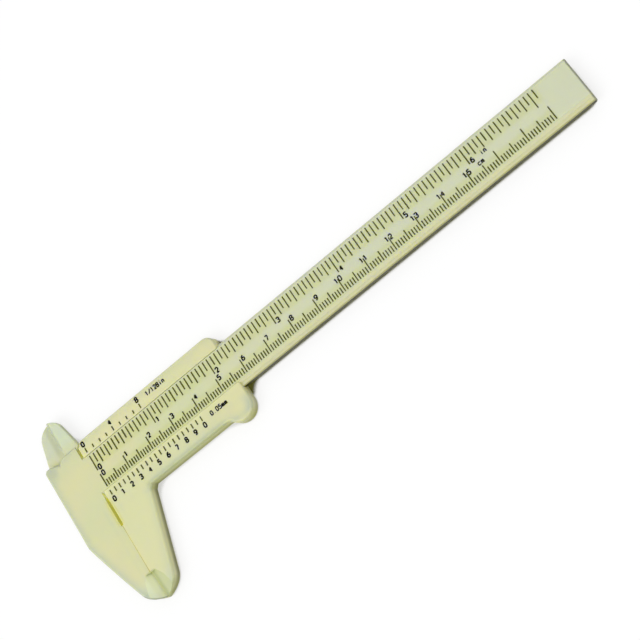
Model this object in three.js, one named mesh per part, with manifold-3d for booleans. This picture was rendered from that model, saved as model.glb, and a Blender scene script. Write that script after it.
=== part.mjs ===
// Plastic vernier caliper: a beam with the fixed jaw, and a slider with the moving jaw. Millimetres, +Z up.
// x = 0 is the plane where the closed jaws meet, y = 0 the beam's centre line, z = 0 the back that it lies on.
import * as THREE from "three";
import { ConvexGeometry } from "three/addons/geometries/ConvexGeometry.js";
import { mergeVertices } from "three/addons/utils/BufferGeometryUtils.js";
import Module from "manifold-3d";

// Body of the tool
const THICKNESS = 5.0; // from the back to the scale face, the same for the head, the jaws and the slider
const EDGE_ROUNDING = 0.8; // on the outer edges of the head and the slider, front and back
const RUNNING_CLEARANCE = 0.2; // between the beam and the slider that runs on it
const CUT_OVERRUN = 3.0; // how far a cutting solid runs past what it cuts

// Beam
const BEAM_LENGTH = 194.6; // from the jaw plane to the free end
const BEAM_WIDTH = 15.9;
const BEAM_THICKNESS = 3.5;
const BEAM_END_ROUNDING = 0.4;
const SCALE_FACE_LOW = 5.75; // from the centre line to the lower edge of the raised scale face
const SCALE_FACE_HIGH = 6.85; // from the centre line to its upper edge
const LEDGE_DROP = 0.9; // from the scale face down to the ledge that the slider's lower lip holds
const BEAM_PAD_REACH = 2.5; // how far the full thickness of the head runs on under the beam

// Head and jaws
const HEAD_LENGTH = 14.5; // from the jaw plane back to the head's left side
const HEAD_TOP = 12.05; // above the centre line
const HEAD_CORNER = 0.9;
const HEAD_NOTCH_DEPTH = 1.5; // the dip in the head's upper edge, in front of the moving nib's root
// The notch's points, from the nibs' measuring edge, as shares of its distance to the head's left side
const HEAD_NOTCH_SHARES = { near: 0.05, middle: 0.3, far: 0.69 };
const JAW_REACH = 45.4; // from the centre line to the jaw tips
const JAW_SHOULDER = 17.9; // from the centre line to where the fixed jaw starts to narrow
const JAW_BACK_BULGE = 0.4; // how far the control point of the fixed jaw's curved back stands out
const JAW_TOE_HALF_WIDTH = 6.7; // each jaw's width where its rounded toe begins
const JAW_TOE_LENGTH = 4.7; // from there to the tip
const MOVING_JAW_ROOT = 14.75; // width of the moving jaw at the slider
const ROOT_FILLET = 1.2; // where the moving jaw meets the slider
const RELIEF_WIDTH = 1.0; // the slot between the head and the slider, around the beam
const RELIEF_REACH = 18.65; // from the centre line down to the slot's end, where the jaw faces begin
const TOE_CONTROL_X_SHARE = 0.78;
const TOE_CONTROL_Y_SHARE = 0.7;

// Knife edges at the jaw tips
const KNIFE_LENGTH = 9.1; // from where the knife edges start to the tips
const KNIFE_START_DEPTH = 1.2;
const KNIFE_START_HALF_WIDTH = 2.2;
const KNIFE_TIP_DEPTH = 2.3;
const KNIFE_TIP_HALF_WIDTH = 5.6;

// Inside-measuring nibs, which pass each other: the fixed one in front, the moving one behind
const NIB_EDGE_SETBACK = 8.5; // from the head's left side to both nibs' measuring edges
const NIB_RISE = 13.2; // above the head
const NIB_LAYER_GAP = 0.2; // between the two nibs
const NIB_FACE_DROP = 0.5; // from the scale face, and from the back, to each nib's own face
const NIB_ROUNDING = 0.4;
const FIXED_NIB_OVERHANG = 0.9; // how far the fixed nib's root runs past the jaw plane
const MOVING_NIB_INSET = 0.7; // from the head's left side to the moving nib's root
const NIB_EDGE_THICKNESS = 0.5;
const NIB_EDGE_BEVEL = 1.3;
const NIB_SHOULDER_X_SHARE = 0.71; // of the root width
const NIB_SHOULDER_Y_SHARE = 0.65; // of the rise
const NIB_CONTROL_X_SHARE = 0.62;
const NIB_CONTROL_Y_SHARE = 0.91;

// Slider
const SLIDER_LENGTH = 58.65; // from the jaw plane to its right end
const SLIDER_TOP = 12.7; // above the centre line
const SLIDER_BOTTOM = 14.05; // below the centre line
const SLIDER_CORNER = 3.2; // radius of its upper right corner
const SLIDER_NOTCH = 2.0; // cut from its upper left corner, round the root of the fixed nib
const THUMB_REST_RADIUS = 5.0;
const THUMB_REST_DROP = 2.95; // from the slider's lower edge to the thumb rest's lowest point
const THUMB_FILLET = 2.5;

// Graduations and numerals, shallow in the scale faces
const MARK_DEPTH = 0.08;
const TICK_WIDTH = 0.34;
const SCALE_ZERO = 2.5; // from the jaw plane to the zero marks
const MILLIMETRE = 1;
const INCH = 25.4;
const MM_STEPS = 180;
const INCH_PARTS = 16;
const INCH_STEPS = 113;
const MM_TICK_MARGIN = 0.4; // from the lower edge of the scale face
const INCH_TICK_MARGIN = 0.4; // from its upper edge
const MM_TICKS = { unit: 2.1, five: 3.4, ten: 4.7 };
const INCH_TICKS = { sixteenth: 3.2, eighth: 4.3, inch: 5.6 };
const MM_VERNIER_STEPS = 20;
const MM_VERNIER_SPAN = 39;
const MM_VERNIER_START = 6.85; // below the centre line
const MM_VERNIER_TICK = 1.7;
const INCH_VERNIER_STEPS = 8;
const INCH_VERNIER_SIXTEENTHS = 15;
const INCH_VERNIER_START = 7.85; // above the centre line
const INCH_VERNIER_TICK = 1.2;
const INCH_VERNIER_LONG_TICK = 1.6;

// Lettering: widths, heights and the places of its rows, from the centre line
const NUMERAL_HEIGHT = 1.6;
const NUMERAL_WIDTH = 0.9;
const NUMERAL_STROKE = 0.26;
const NUMERAL_PITCH = 1.45;
const NUMERAL_SIDE_STEP = 1.25; // from a tick to the numeral beside it
const MM_NUMERAL_Y = -0.85;
const INCH_NUMERAL_Y = 1.45;
const MM_VERNIER_NUMERAL_Y = -10.05;
const INCH_VERNIER_NUMERAL_Y = 10.95;
const CM_NUMBERS = 15;
const INCH_NUMBERS = 6;
const VERNIER_LABEL_HEIGHT = 1.4;
const VERNIER_LABEL_PITCH = 1.15;
const VERNIER_LABEL_WIDTH = 0.75;
const CM_LABEL = { text: "cm", x: 157.8, y: -0.7 };
const IN_LABEL = { text: "in", x: 160.2, y: 1.5 };
const MM_VERNIER_LABEL = { text: "0.05mm", x: 48.3, y: -8.4 };
const INCH_VERNIER_LABEL = { text: "1/128in", x: 34.0, y: 10.4 };

// Each character's strokes, from x, y to x, y, as shares of its width and height
const STROKE_SHARES = {
  0: [[0, 0, 1, 0], [1, 0, 1, 1], [1, 1, 0, 1], [0, 1, 0, 0]],
  1: [[0.5, 0, 0.5, 1], [0.5, 1, 0.1, 0.75]],
  2: [[0, 1, 1, 1], [1, 1, 1, 0.55], [1, 0.55, 0, 0], [0, 0, 1, 0]],
  3: [[0, 1, 1, 1], [1, 1, 1, 0], [0, 0, 1, 0], [0.3, 0.5, 1, 0.5]],
  4: [[0.8, 0, 0.8, 1], [0.8, 1, 0, 0.35], [0, 0.35, 1, 0.35]],
  5: [[1, 1, 0, 1], [0, 1, 0, 0.55], [0, 0.55, 1, 0.55], [1, 0.55, 1, 0], [1, 0, 0, 0]],
  6: [[1, 1, 0, 1], [0, 1, 0, 0], [0, 0, 1, 0], [1, 0, 1, 0.5], [1, 0.5, 0, 0.5]],
  7: [[0, 1, 1, 1], [1, 1, 0.3, 0]],
  8: [[0, 0, 1, 0], [1, 0, 1, 1], [1, 1, 0, 1], [0, 1, 0, 0], [0, 0.5, 1, 0.5]],
  9: [[0, 0, 1, 0], [1, 0, 1, 1], [1, 1, 0, 1], [0, 1, 0, 0.5], [0, 0.5, 1, 0.5]],
  ".": [[0.5, 0, 0.5, 0.05]],
  "/": [[0, 0, 1, 1]],
  c: [[1, 0.65, 0, 0.65], [0, 0.65, 0, 0], [0, 0, 1, 0]],
  m: [[0, 0, 0, 0.65], [0, 0.65, 1, 0.65], [0.5, 0.65, 0.5, 0], [1, 0.65, 1, 0]],
  n: [[0, 0, 0, 0.65], [0, 0.65, 1, 0.65], [1, 0.65, 1, 0]],
  i: [[0.5, 0, 0.5, 0.6], [0.5, 0.9, 0.5, 1]],
};

// Worked out from the sizes above
const HALF_WIDTH = BEAM_WIDTH / 2;
const CHANNEL_HALF_WIDTH = HALF_WIDTH + RUNNING_CLEARANCE;
const BEAM_BACK = THICKNESS - BEAM_THICKNESS;
const BACK_PLATE = BEAM_BACK - RUNNING_CLEARANCE;
const HALF_RELIEF = RELIEF_WIDTH / 2;
const LAYER_MIDDLE = THICKNESS / 2;
const FRONT_LAYER_BACK = LAYER_MIDDLE + NIB_LAYER_GAP / 2;
const BACK_LAYER_FRONT = LAYER_MIDDLE - NIB_LAYER_GAP / 2;
const SLOPE_CLEARANCE = RUNNING_CLEARANCE * Math.SQRT2;
const JAW_TOE_START = JAW_REACH - JAW_TOE_LENGTH;
const KNIFE_START = JAW_REACH - KNIFE_LENGTH;
const NIB_TOP = HEAD_TOP + NIB_RISE;
const NIB_EDGE_X = HEAD_LENGTH - NIB_EDGE_SETBACK;
const FIXED_NIB_ROOT = NIB_EDGE_X + FIXED_NIB_OVERHANG;
const MOVING_NIB_ROOT = NIB_EDGE_SETBACK - MOVING_NIB_INSET;
const ARM_LOW = CHANNEL_HALF_WIDTH + RUNNING_CLEARANCE;
const TICK_FOOT = -(SCALE_FACE_LOW - MM_TICK_MARGIN);
const INCH_TICK_FOOT = SCALE_FACE_HIGH - INCH_TICK_MARGIN;
const CURVE_STEPS = 8;
const ROUNDING_STEPS = 3;

const wasm = await Module();
wasm.setup();

function solidFrom(geometry) {
  const bare = geometry.clone();
  bare.deleteAttribute("normal");
  bare.deleteAttribute("uv");
  const merged = mergeVertices(bare);
  const vertProperties = merged.attributes.position.array;
  const triVerts = new Uint32Array(merged.index.array);
  return new wasm.Manifold(new wasm.Mesh({ numProp: 3, vertProperties, triVerts }));
}

function geometryFrom(solid) {
  const mesh = solid.getMesh();
  const geometry = new THREE.BufferGeometry();
  geometry.setAttribute("position", new THREE.BufferAttribute(new Float32Array(mesh.vertProperties), 3));
  geometry.setIndex(new THREE.BufferAttribute(new Uint32Array(mesh.triVerts), 1));
  const faceted = geometry.toNonIndexed();
  faceted.computeVertexNormals();
  return faceted;
}

// A block between two corners
function block(low, high) {
  const size = high.map((value, axis) => value - low[axis]);
  const centre = high.map((value, axis) => (value + low[axis]) / 2);
  return solidFrom(new THREE.BoxGeometry(...size).translate(...centre));
}

// A plan outline raised from one height to another, with its edges rounded front and back
function roundedPlate(shape, back, front, rounding) {
  const geometry = new THREE.ExtrudeGeometry(shape, {
    depth: front - back - 2 * rounding,
    bevelThickness: rounding,
    bevelSize: rounding,
    bevelOffset: -rounding,
    bevelSegments: ROUNDING_STEPS,
    curveSegments: CURVE_STEPS,
  });
  return solidFrom(geometry.translate(0, 0, back + rounding));
}

// A section drawn in y and z, drawn out along the beam
function railAlongBeam(section, start, end) {
  const shape = new THREE.Shape(section.map(([y, z]) => new THREE.Vector2(y, z)));
  const geometry = new THREE.ExtrudeGeometry(shape, { depth: end - start, bevelEnabled: false });
  const turn = new THREE.Matrix4().makeBasis(
    new THREE.Vector3(0, 1, 0),
    new THREE.Vector3(0, 0, 1),
    new THREE.Vector3(1, 0, 0),
  );
  return solidFrom(geometry.applyMatrix4(turn).translate(start, 0, 0));
}

// Lettering and graduations: thin cutters that sink MARK_DEPTH into the scale face
function markBetween(x1, y1, x2, y2, width) {
  const length = Math.hypot(x2 - x1, y2 - y1) + width;
  const geometry = new THREE.BoxGeometry(length, width, 2 * MARK_DEPTH);
  geometry.rotateZ(Math.atan2(y2 - y1, x2 - x1));
  return solidFrom(geometry.translate((x1 + x2) / 2, (y1 + y2) / 2, THICKNESS));
}

function tick(x, start, end) {
  const half = TICK_WIDTH / 2;
  const low = [x - half, Math.min(start, end), THICKNESS - MARK_DEPTH];
  const high = [x + half, Math.max(start, end), THICKNESS + MARK_DEPTH];
  return block(low, high);
}

function characterMarks(character, x, y, width, height) {
  const left = x - width / 2;
  const foot = y - height / 2;
  return STROKE_SHARES[character].map(([x1, y1, x2, y2]) =>
    markBetween(left + x1 * width, foot + y1 * height, left + x2 * width, foot + y2 * height, NUMERAL_STROKE),
  );
}

// Text centred on x and y
function textMarks(text, x, y, pitch, width, height) {
  const first = x - (pitch * (text.length - 1)) / 2;
  return [...text].flatMap((character, i) => characterMarks(character, first + i * pitch, y, width, height));
}

function numeralMarks(number, x, y) {
  return textMarks(String(number), x, y, NUMERAL_PITCH, NUMERAL_WIDTH, NUMERAL_HEIGHT);
}

function labelMarks(label) {
  return textMarks(label.text, label.x, label.y, VERNIER_LABEL_PITCH, VERNIER_LABEL_WIDTH, VERNIER_LABEL_HEIGHT);
}

function millimetreTickLength(step) {
  if (step % 10 === 0) return MM_TICKS.ten;
  return step % 5 === 0 ? MM_TICKS.five : MM_TICKS.unit;
}

function inchTickLength(step) {
  if (step % INCH_PARTS === 0) return INCH_TICKS.inch;
  return step % 2 === 0 ? INCH_TICKS.eighth : INCH_TICKS.sixteenth;
}

function mainScaleMarks() {
  const marks = [];
  for (let step = 0; step <= MM_STEPS; step += 1) {
    marks.push(tick(SCALE_ZERO + step * MILLIMETRE, TICK_FOOT, TICK_FOOT + millimetreTickLength(step)));
  }
  for (let step = 0; step <= INCH_STEPS; step += 1) {
    const x = SCALE_ZERO + (step * INCH) / INCH_PARTS;
    marks.push(tick(x, INCH_TICK_FOOT, INCH_TICK_FOOT - inchTickLength(step)));
  }
  for (let number = 0; number <= CM_NUMBERS; number += 1) {
    const beside = number < 10 ? NUMERAL_SIDE_STEP : 0;
    marks.push(...numeralMarks(number, SCALE_ZERO + number * 10 * MILLIMETRE + beside, MM_NUMERAL_Y));
  }
  for (let number = 0; number <= INCH_NUMBERS; number += 1) {
    marks.push(...numeralMarks(number, SCALE_ZERO + number * INCH + NUMERAL_SIDE_STEP, INCH_NUMERAL_Y));
  }
  marks.push(...labelMarks(CM_LABEL), ...labelMarks(IN_LABEL));
  return wasm.Manifold.union(marks);
}

function vernierMarks() {
  const marks = [];
  for (let step = 0; step <= MM_VERNIER_STEPS; step += 1) {
    const x = SCALE_ZERO + (step * MM_VERNIER_SPAN * MILLIMETRE) / MM_VERNIER_STEPS;
    marks.push(tick(x, -MM_VERNIER_START, -(MM_VERNIER_START + MM_VERNIER_TICK)));
    if (step % 2 === 0) marks.push(...numeralMarks((step / 2) % 10, x, MM_VERNIER_NUMERAL_Y));
  }
  for (let step = 0; step <= INCH_VERNIER_STEPS; step += 1) {
    const x = SCALE_ZERO + (step * INCH_VERNIER_SIXTEENTHS * INCH) / INCH_PARTS / INCH_VERNIER_STEPS;
    const numbered = step % 4 === 0;
    const length = numbered ? INCH_VERNIER_LONG_TICK : INCH_VERNIER_TICK;
    marks.push(tick(x, INCH_VERNIER_START, INCH_VERNIER_START + length));
    if (numbered) marks.push(...numeralMarks(step, x, INCH_VERNIER_NUMERAL_Y));
  }
  marks.push(...labelMarks(MM_VERNIER_LABEL), ...labelMarks(INCH_VERNIER_LABEL));
  return wasm.Manifold.union(marks);
}

// The valley between the jaw tips, whose two slopes make the knife edges
function knifeValley() {
  const valleyEnd = (y, depth, halfWidth) => {
    const rise = (halfWidth * (depth + CUT_OVERRUN)) / depth;
    return [
      new THREE.Vector3(0, y, THICKNESS - depth),
      new THREE.Vector3(-rise, y, THICKNESS + CUT_OVERRUN),
      new THREE.Vector3(rise, y, THICKNESS + CUT_OVERRUN),
    ];
  };
  const start = valleyEnd(-KNIFE_START, KNIFE_START_DEPTH, KNIFE_START_HALF_WIDTH);
  const end = valleyEnd(-(JAW_REACH + RUNNING_CLEARANCE), KNIFE_TIP_DEPTH, KNIFE_TIP_HALF_WIDTH);
  return solidFrom(new ConvexGeometry([...start, ...end]));
}

// The rounded toe of a jaw, from its tip at the jaw plane: side is -1 for the fixed jaw and 1 for the moving one
function drawToe(shape, side) {
  const toeDrop = JAW_REACH - JAW_TOE_START;
  shape.lineTo(0, -JAW_REACH);
  shape.quadraticCurveTo(
    side * JAW_TOE_HALF_WIDTH * TOE_CONTROL_X_SHARE,
    -(JAW_TOE_START + toeDrop * TOE_CONTROL_Y_SHARE),
    side * JAW_TOE_HALF_WIDTH,
    -JAW_TOE_START,
  );
}

// One nib's outline, from a foot inside what carries it: side is 1 for the fixed nib and -1 for the moving one
function nibShape(rootWidth, side, footY, footEndX) {
  const shape = new THREE.Shape();
  const at = (share) => -NIB_EDGE_X + side * rootWidth * share;
  shape.moveTo(at(0), footY);
  shape.lineTo(footEndX, footY);
  shape.lineTo(at(1), HEAD_TOP);
  shape.lineTo(at(NIB_SHOULDER_X_SHARE), HEAD_TOP + NIB_RISE * NIB_SHOULDER_Y_SHARE);
  shape.quadraticCurveTo(
    at(NIB_CONTROL_X_SHARE),
    HEAD_TOP + NIB_RISE * NIB_CONTROL_Y_SHARE,
    at(0),
    NIB_TOP,
  );
  return shape;
}

// The slope that thins a nib to its measuring edge, on its front or, for the moving nib, on its back
function nibBevel(side, edgeHeight, faceHeight) {
  const outward = Math.sign(faceHeight - edgeHeight);
  const past = faceHeight + outward * CUT_OVERRUN;
  const slope = NIB_EDGE_BEVEL / Math.abs(faceHeight - edgeHeight);
  const reach = -NIB_EDGE_X + side * slope * Math.abs(past - edgeHeight);
  const corners = [];
  for (const y of [HEAD_TOP, NIB_TOP + CUT_OVERRUN]) {
    corners.push(new THREE.Vector3(-NIB_EDGE_X, y, edgeHeight));
    corners.push(new THREE.Vector3(-NIB_EDGE_X - side * CUT_OVERRUN, y, edgeHeight));
    corners.push(new THREE.Vector3(-NIB_EDGE_X - side * CUT_OVERRUN, y, past));
    corners.push(new THREE.Vector3(reach, y, past));
  }
  return solidFrom(new ConvexGeometry(corners));
}

function fixedNib() {
  const face = THICKNESS - NIB_FACE_DROP;
  const shape = nibShape(FIXED_NIB_ROOT, 1, HEAD_TOP - HEAD_NOTCH_DEPTH, -HALF_RELIEF);
  const nib = roundedPlate(shape, FRONT_LAYER_BACK, face, NIB_ROUNDING);
  return nib.subtract(nibBevel(1, FRONT_LAYER_BACK + NIB_EDGE_THICKNESS, face));
}

function movingNib() {
  const shape = nibShape(MOVING_NIB_ROOT, -1, ARM_LOW, -NIB_EDGE_X - MOVING_NIB_ROOT);
  const nib = roundedPlate(shape, NIB_FACE_DROP, BACK_LAYER_FRONT, NIB_ROUNDING);
  return nib.subtract(nibBevel(-1, BACK_LAYER_FRONT - NIB_EDGE_THICKNESS, NIB_FACE_DROP));
}

function headShape() {
  const shape = new THREE.Shape();
  shape.moveTo(CUT_OVERRUN, -JAW_REACH);
  drawToe(shape, -1);
  shape.quadraticCurveTo(
    -(HEAD_LENGTH + JAW_TOE_HALF_WIDTH) / 2 - JAW_BACK_BULGE,
    -(JAW_SHOULDER + JAW_TOE_START) / 2,
    -HEAD_LENGTH,
    -JAW_SHOULDER,
  );
  shape.lineTo(-HEAD_LENGTH, HEAD_TOP - HEAD_CORNER);
  shape.lineTo(-HEAD_LENGTH + HEAD_CORNER, HEAD_TOP);
  shape.lineTo(-NIB_EDGE_X - NIB_EDGE_SETBACK * HEAD_NOTCH_SHARES.far, HEAD_TOP);
  shape.lineTo(-NIB_EDGE_X - NIB_EDGE_SETBACK * HEAD_NOTCH_SHARES.middle, HEAD_TOP - HEAD_NOTCH_DEPTH);
  shape.lineTo(-NIB_EDGE_X - NIB_EDGE_SETBACK * HEAD_NOTCH_SHARES.near, HEAD_TOP);
  shape.lineTo(CUT_OVERRUN, HEAD_TOP);
  return shape;
}

// The slot beside the beam, above it up to the nib's root and below it down to the jaw faces
function headRightSide() {
  const past = CUT_OVERRUN + EDGE_ROUNDING;
  const jawSide = block([0, -JAW_REACH - past, -past], [past, NIB_TOP, THICKNESS + past]);
  const slot = block([-HALF_RELIEF, -RELIEF_REACH, -past], [past, HEAD_TOP + past, THICKNESS + past]);
  return jawSide.add(slot);
}

function beamRail() {
  const section = [
    [-HALF_WIDTH, BEAM_BACK],
    [HALF_WIDTH, BEAM_BACK],
    [HALF_WIDTH, THICKNESS - (HALF_WIDTH - SCALE_FACE_HIGH)],
    [SCALE_FACE_HIGH, THICKNESS],
    [-SCALE_FACE_LOW, THICKNESS],
    [-SCALE_FACE_LOW - LEDGE_DROP, THICKNESS - LEDGE_DROP],
    [-HALF_WIDTH, THICKNESS - LEDGE_DROP],
  ];
  const start = -HEAD_LENGTH / 2;
  const rail = railAlongBeam(section, start, BEAM_LENGTH);
  const plan = new THREE.Shape();
  plan.moveTo(start - CUT_OVERRUN, -HALF_WIDTH);
  plan.lineTo(BEAM_LENGTH - BEAM_END_ROUNDING, -HALF_WIDTH);
  plan.lineTo(BEAM_LENGTH, -HALF_WIDTH + BEAM_END_ROUNDING);
  plan.lineTo(BEAM_LENGTH, HALF_WIDTH - BEAM_END_ROUNDING);
  plan.lineTo(BEAM_LENGTH - BEAM_END_ROUNDING, HALF_WIDTH);
  plan.lineTo(start - CUT_OVERRUN, HALF_WIDTH);
  const pad = block([start, -HALF_WIDTH, 0], [BEAM_PAD_REACH, HALF_WIDTH, BEAM_BACK + RUNNING_CLEARANCE]);
  return rail.intersect(roundedPlate(plan, BEAM_BACK, THICKNESS, BEAM_END_ROUNDING)).add(pad);
}

function beamWithFixedJaw() {
  const past = CUT_OVERRUN;
  const armWay = block([-HEAD_LENGTH - past, CHANNEL_HALF_WIDTH, -past], [past, NIB_TOP, FRONT_LAYER_BACK]);
  const head = roundedPlate(headShape(), 0, THICKNESS, EDGE_ROUNDING)
    .subtract(headRightSide())
    .subtract(knifeValley());
  return head.subtract(armWay).add(fixedNib()).add(beamRail()).subtract(mainScaleMarks());
}

function thumbRestCentre() {
  return [SLIDER_LENGTH - THUMB_REST_RADIUS, -(SLIDER_BOTTOM + THUMB_REST_DROP) + THUMB_REST_RADIUS];
}

function sliderShape() {
  const [thumbX, thumbY] = thumbRestCentre();
  // where the fillet of the slider's lower edge touches the thumb rest's circle
  const filletY = -SLIDER_BOTTOM - THUMB_FILLET;
  const reach = THUMB_REST_RADIUS + THUMB_FILLET;
  const filletX = thumbX - Math.sqrt(reach ** 2 - (thumbY - filletY) ** 2);
  const touch = Math.atan2(filletY - thumbY, filletX - thumbX);
  const shape = new THREE.Shape();
  shape.moveTo(-CUT_OVERRUN, -JAW_REACH);
  drawToe(shape, 1);
  shape.lineTo(MOVING_JAW_ROOT, -SLIDER_BOTTOM - ROOT_FILLET);
  shape.lineTo(MOVING_JAW_ROOT + ROOT_FILLET, -SLIDER_BOTTOM);
  shape.lineTo(filletX, -SLIDER_BOTTOM);
  shape.absarc(filletX, filletY, THUMB_FILLET, Math.PI / 2, touch + Math.PI, true);
  shape.absarc(thumbX, thumbY, THUMB_REST_RADIUS, touch, 0, false);
  shape.lineTo(SLIDER_LENGTH, SLIDER_TOP - SLIDER_CORNER);
  shape.absarc(SLIDER_LENGTH - SLIDER_CORNER, SLIDER_TOP - SLIDER_CORNER, SLIDER_CORNER, 0, Math.PI / 2, false);
  shape.lineTo(-CUT_OVERRUN, SLIDER_TOP);
  return shape;
}

// What the beam runs in: its own section and a clearance, open to the front
function sliderChannel() {
  const lowLip = SCALE_FACE_LOW + SLOPE_CLEARANCE;
  const highLip = SCALE_FACE_HIGH + SLOPE_CLEARANCE;
  const lipBack = THICKNESS - LEDGE_DROP + RUNNING_CLEARANCE;
  const past = THICKNESS + CUT_OVERRUN;
  const section = [
    [-CHANNEL_HALF_WIDTH, BACK_PLATE],
    [CHANNEL_HALF_WIDTH, BACK_PLATE],
    [CHANNEL_HALF_WIDTH, THICKNESS - (CHANNEL_HALF_WIDTH - highLip)],
    [highLip, THICKNESS],
    [highLip, past],
    [-lowLip, past],
    [-lowLip, THICKNESS],
    [-lowLip - (THICKNESS - lipBack), lipBack],
    [-CHANNEL_HALF_WIDTH, lipBack],
  ];
  return railAlongBeam(section, -HEAD_LENGTH, SLIDER_LENGTH + CUT_OVERRUN);
}

// What the head needs at the slider's left: the jaw plane, the slot, the beam's pad and the nib's root
function sliderLeftSide() {
  const past = CUT_OVERRUN + EDGE_ROUNDING;
  const padEnd = BEAM_PAD_REACH + RUNNING_CLEARANCE;
  const left = block([-past, -JAW_REACH - past, -past], [0, SLIDER_TOP + past, THICKNESS + past]);
  const slot = block([-past, -RELIEF_REACH, -past], [HALF_RELIEF, SLIDER_TOP + past, THICKNESS + past]);
  const pad = block([-past, -CHANNEL_HALF_WIDTH, -past], [padEnd, CHANNEL_HALF_WIDTH, BEAM_BACK]);
  const corners = [];
  for (const z of [FRONT_LAYER_BACK - RUNNING_CLEARANCE, THICKNESS + past]) {
    corners.push(new THREE.Vector3(-past, SLIDER_TOP - SLIDER_NOTCH, z));
    corners.push(new THREE.Vector3(HALF_RELIEF, SLIDER_TOP - SLIDER_NOTCH, z));
    corners.push(new THREE.Vector3(HALF_RELIEF + SLIDER_NOTCH, SLIDER_TOP, z));
    corners.push(new THREE.Vector3(HALF_RELIEF + SLIDER_NOTCH, SLIDER_TOP + past, z));
    corners.push(new THREE.Vector3(-past, SLIDER_TOP + past, z));
  }
  return left.add(slot).add(pad).add(solidFrom(new ConvexGeometry(corners)));
}

// The arm that runs behind the head to carry the moving nib
function nibArm() {
  const left = -NIB_EDGE_X - MOVING_NIB_ROOT;
  return block([left, ARM_LOW, 0], [HALF_RELIEF + EDGE_ROUNDING, SLIDER_TOP - NIB_FACE_DROP, BACK_LAYER_FRONT]);
}

function sliderWithMovingJaw() {
  const body = roundedPlate(sliderShape(), 0, THICKNESS, EDGE_ROUNDING)
    .subtract(sliderLeftSide())
    .subtract(sliderChannel())
    .subtract(knifeValley());
  return body.add(nibArm()).add(movingNib()).subtract(vernierMarks());
}

function namedMesh(name, solid, material) {
  const mesh = new THREE.Mesh(geometryFrom(solid), material);
  mesh.name = name;
  return mesh;
}

const creamPlastic = new THREE.MeshStandardMaterial({ color: 0xe3e4b6, roughness: 0.5, metalness: 0 });
const caliper = new THREE.Group();
caliper.add(namedMesh("beam_with_fixed_jaw", beamWithFixedJaw(), creamPlastic));
caliper.add(namedMesh("slider_with_moving_jaw", sliderWithMovingJaw(), creamPlastic));

export default caliper;
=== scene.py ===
"""Looks for the plastic vernier caliper: its cream plastic, its printed scales, a pale floor and soft light.

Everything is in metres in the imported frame: x = 0 is the plane of the closed jaws, y = 0 the beam's centre
line and z = 0 the back that the tool lies on.
"""

import random

import bpy
from mathutils import Matrix, Vector


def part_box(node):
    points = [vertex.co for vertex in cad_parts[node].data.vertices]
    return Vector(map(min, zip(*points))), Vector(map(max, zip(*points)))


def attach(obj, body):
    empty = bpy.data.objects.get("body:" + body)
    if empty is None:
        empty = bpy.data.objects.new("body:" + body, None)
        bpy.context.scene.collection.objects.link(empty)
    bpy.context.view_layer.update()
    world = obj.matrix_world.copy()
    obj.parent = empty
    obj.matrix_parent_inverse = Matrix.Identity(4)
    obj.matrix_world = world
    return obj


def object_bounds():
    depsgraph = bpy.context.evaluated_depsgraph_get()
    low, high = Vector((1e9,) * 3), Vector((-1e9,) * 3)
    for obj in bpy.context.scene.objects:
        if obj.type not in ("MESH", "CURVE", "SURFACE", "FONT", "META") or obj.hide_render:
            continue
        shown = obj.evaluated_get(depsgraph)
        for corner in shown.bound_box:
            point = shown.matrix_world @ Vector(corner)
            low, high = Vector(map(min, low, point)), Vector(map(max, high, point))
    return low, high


MM = 0.001
INCH = 25.4 * MM

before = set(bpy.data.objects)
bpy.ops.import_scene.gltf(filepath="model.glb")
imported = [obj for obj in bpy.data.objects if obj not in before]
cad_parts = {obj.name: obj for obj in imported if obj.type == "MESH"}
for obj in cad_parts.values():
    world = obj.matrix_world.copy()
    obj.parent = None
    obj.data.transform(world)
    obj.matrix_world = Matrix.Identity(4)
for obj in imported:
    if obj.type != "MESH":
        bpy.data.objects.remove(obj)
cad_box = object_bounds()

BEAM = "beam_with_fixed_jaw"
SLIDER = "slider_with_moving_jaw"
SCALE_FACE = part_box(BEAM)[1].z
BEAM_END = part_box(BEAM)[1].x
LEDGE = SCALE_FACE - 0.9 * MM

# The jaws, as in the part's source, and the power of the curve that follows the edge of their toes
KNIFE_START = 36.3 * MM
TOE_LENGTH = 4.7 * MM
TOE_START = -cad_box[0].y - TOE_LENGTH
TOE_HALF_WIDTH = 6.7 * MM
TOE_CURVE = 1.45

# Graduations, as in the part's source
SCALE_ZERO = 2.5 * MM
MM_TICK_FOOT = -5.35 * MM
MM_TICKS = {"unit": 2.1 * MM, "five": 3.4 * MM, "ten": 4.7 * MM}
MM_STEPS = 180
CM_NUMBERS = 15
INCH_TICK_FOOT = 6.45 * MM
INCH_TICKS = {"sixteenth": 3.2 * MM, "eighth": 4.3 * MM, "inch": 5.6 * MM}
INCH_PARTS = 16
INCH_STEPS = 113
INCH_NUMBERS = 6
MM_VERNIER_STEPS = 20
MM_VERNIER_SPAN = 39 * MM
MM_VERNIER_START = -6.85 * MM
MM_VERNIER_TICK = 1.7 * MM
INCH_VERNIER_STEPS = 8
INCH_VERNIER_SPAN = 15 / 16 * INCH
INCH_VERNIER_START = 7.85 * MM
INCH_VERNIER_TICK = 1.2 * MM
INCH_VERNIER_LONG_TICK = 1.6 * MM

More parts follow.
